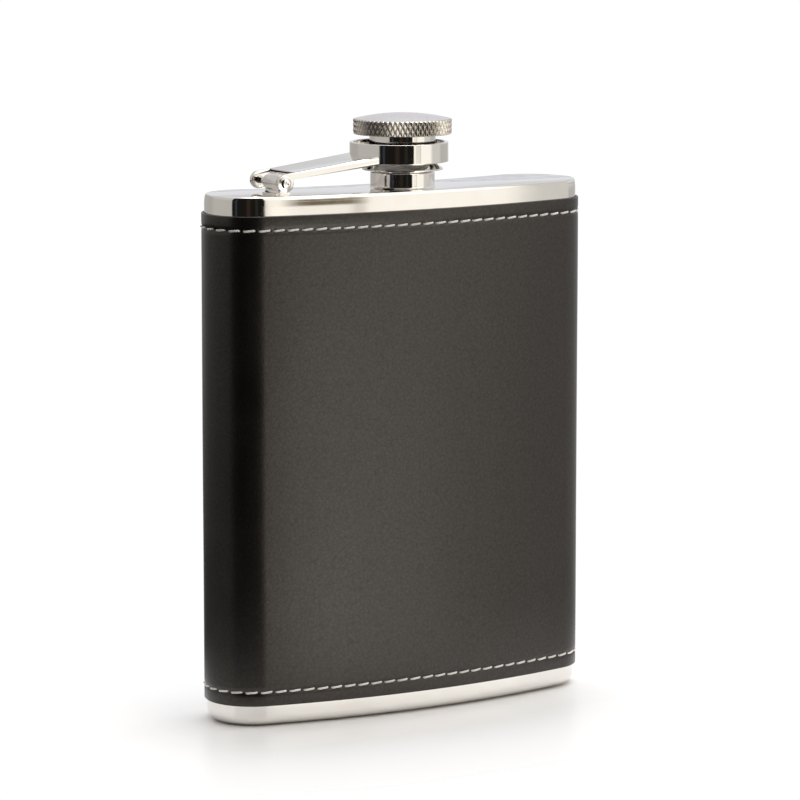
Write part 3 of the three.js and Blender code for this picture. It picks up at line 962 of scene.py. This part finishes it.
# What the room's walls show, each painted over the ones before it. Azimuth and elevation are ranges in
# degrees, azimuth from the side that CAMERA_YAW gives and positive to its right. Then come the degrees that
# each border takes to fade, to either side of it, and the colour.
SURROUNDINGS = [
    ((110, 200), (-10, 12), 6.0, (0.79, 0.80, 0.835)),
    ((-200, -110), (-10, 12), 6.0, (0.79, 0.80, 0.835)),
    ((110, 200), (12, 34), 4.0, (0.70, 0.705, 0.73)),
    ((-200, -110), (12, 34), 4.0, (0.70, 0.705, 0.73)),
    ((-160, -44), (-100, 50), 4.0, (0.62, 0.61, 0.60)),
    ((-160, -44), (-100, 14), 4.0, (0.53, 0.51, 0.485)),
    ((-160, -110), (-100, 14), 8.0, (0.46, 0.445, 0.425)),
    ((-160, -44), (-100, -8), 1.2, (0.05, 0.047, 0.045)),
    ((95, 160), (-100, 0), 8.0, (0.50, 0.485, 0.46)),
    ((30, 90), (-100, 60), 12.0, (1.16, 1.12, 1.04)),
    ((40, 92), (13, 34), 4.0, (1.95, 1.88, 1.76)),
    ((82, 112), (-100, 40), 5.0, (0.70, 0.68, 0.65)),
    ((60, 125), (-100, -13), 3.0, (0.45, 0.43, 0.40)),
    ((50.2, 52.4), (-8, 30), 0.8, (0.76, 0.72, 0.65)),
    ((35, 39.5), (-8, 40), 1.0, (1.25, 1.19, 1.08)),
    ((35, 66), (-100, -8), 1.5, (1.75, 1.69, 1.58)),
    ((35, 50), (-100, -8), 1.5, (2.5, 2.42, 2.26)),
    ((39.5, 51.5), (-3.5, 7.5), 2.2, (0.19, 0.155, 0.10)),
    ((-46, 35.3), (-100, 46), 0.9, (0.011, 0.009, 0.008)),
    ((-37, -33), (-40, 30), 2.0, (0.035, 0.05, 0.075)),
    ((-8, 1), (-40, 30), 3.0, (0.030, 0.022, 0.016)),
    ((14, 20), (-40, 30), 2.5, (0.020, 0.027, 0.020)),
    ((-200, 200), (66, 100), 10.0, (1.5, 1.5, 1.52)),
]


def place_camera():
    lens = bpy.data.cameras.new("camera")
    lens.lens = CAMERA_LENS
    lens.sensor_width = 36.0
    lens.clip_start = 0.01
    camera = bpy.data.objects.new("camera", lens)
    bpy.context.scene.collection.objects.link(camera)
    back = Vector(
        (
            -math.sin(CAMERA_YAW) * math.cos(CAMERA_PITCH),
            -math.cos(CAMERA_YAW) * math.cos(CAMERA_PITCH),
            math.sin(CAMERA_PITCH),
        )
    )
    aim_at(camera, CAMERA_AIM + back * CAMERA_DISTANCE, CAMERA_AIM)
    bpy.context.scene.camera = camera


def aim_at(thing, place, aim):
    thing.location = place
    thing.rotation_mode = "QUATERNION"
    thing.rotation_quaternion = (Vector(aim) - Vector(place)).to_track_quat("-Z", "Y")


def make_floor():
    outline = arc(0, 0, FLOOR_RADIUS, 0, 360, 96)[:-1]
    points = [(x, y, -FLOOR_GAP) for x, y in outline]
    floor = new_object("studio_floor", points, [tuple(range(len(points)))])
    floor.data.materials.append(floor_board())


def place_key_light():
    """One large soft light, overhead and a little to the right."""
    light = bpy.data.lights.new("key_light", "AREA")
    light.shape = "RECTANGLE"
    light.size = light.size_y = KEY_SIZE
    light.energy = KEY_POWER
    made = bpy.data.objects.new("key_light", light)
    bpy.context.scene.collection.objects.link(made)
    aim_at(made, KEY_PLACE, (0.0, 0.0, 0.0))
    made.visible_camera = False


def make_world():
    """A white room with a dark opening on the camera's side, which is what the bright steel reflects."""
    world = bpy.data.worlds.new("white_room")
    bpy.context.scene.world = world
    world.use_nodes = True
    tree = world.node_tree
    tree.nodes.clear()
    new, link = tree.nodes.new, tree.links.new

    def math_node(operation, a, b=0.0):
        node = new("ShaderNodeMath")
        node.operation = operation
        for socket, value in zip(node.inputs, (a, b)):
            if isinstance(value, bpy.types.NodeSocket):
                link(value, socket)
            else:
                socket.default_value = value
        return node.outputs[0]

    def inside(value, low, high, soft):
        ramps = []
        for start, end in ((low - soft, low + soft), (high + soft, high - soft)):
            ramp = new("ShaderNodeMapRange")
            ramp.interpolation_type = "SMOOTHSTEP"
            link(value, ramp.inputs["Value"])
            ramp.inputs["From Min"].default_value = start
            ramp.inputs["From Max"].default_value = end
            ramps.append(ramp.outputs["Result"])
        return math_node("MULTIPLY", *ramps)

    def band(azimuth_range, elevation_range, soft):
        across = inside(azimuth, *azimuth_range, soft)
        up = inside(elevation, *elevation_range, soft)
        return math_node("MULTIPLY", across, up)

    place = new("ShaderNodeTexCoord").outputs["Generated"]
    turn = new("ShaderNodeVectorRotate")
    turn.rotation_type = "Z_AXIS"
    link(place, turn.inputs["Vector"])
    turn.inputs["Angle"].default_value = CAMERA_YAW
    split = new("ShaderNodeSeparateXYZ")
    link(turn.outputs["Vector"], split.inputs["Vector"])
    degrees = math.degrees(1)
    towards = math_node("MULTIPLY", split.outputs["Y"], -1.0)
    azimuth = math_node("MULTIPLY", math_node("ARCTAN2", split.outputs["X"], towards), degrees)
    elevation = math_node("MULTIPLY", math_node("ARCSINE", split.outputs["Z"]), degrees)

    room = new("ShaderNodeRGB")
    room.outputs["Color"].default_value = (*ROOM_WHITE, 1.0)
    colour = room.outputs["Color"]
    for azimuth_range, elevation_range, soft, tint in SURROUNDINGS:
        mix = new("ShaderNodeMix")
        mix.data_type = "RGBA"
        below, above = (socket for socket in mix.inputs if socket.type == "RGBA")
        link(band(azimuth_range, elevation_range, soft), mix.inputs["Factor"])
        link(colour, below)
        above.default_value = (*tint, 1.0)
        colour = next(socket for socket in mix.outputs if socket.type == "RGBA")

    seen = new("ShaderNodeLightPath").outputs["Is Camera Ray"]
    shown = new("ShaderNodeBackground")
    shown.inputs["Color"].default_value = (1.0, 1.0, 1.0, 1.0)
    shown.inputs["Strength"].default_value = BACKDROP_STRENGTH
    lit = new("ShaderNodeBackground")
    link(colour, lit.inputs["Color"])
    choose = new("ShaderNodeMixShader")
    link(seen, choose.inputs[0])
    link(lit.outputs[0], choose.inputs[1])
    link(shown.outputs[0], choose.inputs[2])
    output = new("ShaderNodeOutputWorld")
    link(choose.outputs[0], output.inputs["Surface"])


def finish_piece(piece, body, node, slot):
    set_material(piece, slot)
    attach(piece, body)
    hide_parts(node)


def set_material(piece, slot):
    piece.data.materials.clear()
    piece.data.materials.append(materials[slot])


place_camera()
place_key_light()
make_floor()
make_world()
bpy.context.scene.view_settings.view_transform = "Standard"

materials = {
    "polished_steel": polished_steel(),
    "satin_steel": satin_steel(),
    "wrap_leather": wrap_leather(),
    "lining_fabric": lining_fabric(),
    "stitch_thread": stitch_thread(),
    "seal_plastic": seal_plastic(),
}
bottom_stitches = stitch_row("stitches_bottom", STITCH_ROWS[0])
top_stitches = stitch_row("stitches_top", STITCH_ROWS[1])

finish_piece(body_tube(), "flask_body", "body_tube", "polished_steel")
finish_piece(base_pan(), "flask_body", "base_pan", "polished_steel")
finish_piece(top_plate(), "flask_body", "top_plate", "polished_steel")
finish_piece(neck(), "flask_body", "neck", "polished_steel")
finish_piece(wrap_lining(), "flask_body", "wrap_lining", "lining_fabric")
finish_piece(leather_wrap(), "flask_body", "leather_wrap", "wrap_leather")
finish_piece(top_stitches, "flask_body", "stitch_thread_top", "stitch_thread")
finish_piece(bottom_stitches, "flask_body", "stitch_thread_bottom", "stitch_thread")
finish_piece(hinge_bracket(), "flask_body", "hinge_bracket", "polished_steel")
finish_piece(hinge_pin(), "flask_body", "hinge_pin", "polished_steel")
finish_piece(swing_arm(), "lid_arm", "swing_arm", "polished_steel")
finish_piece(captive_collar(), "lid_arm", "captive_collar", "polished_steel")
finish_piece(cap_skirt(), "screw_cap", "cap_skirt", "polished_steel")
finish_piece(cap_head(), "screw_cap", "cap_head", "satin_steel")
set_material(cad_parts["cap_seal"], "seal_plastic")
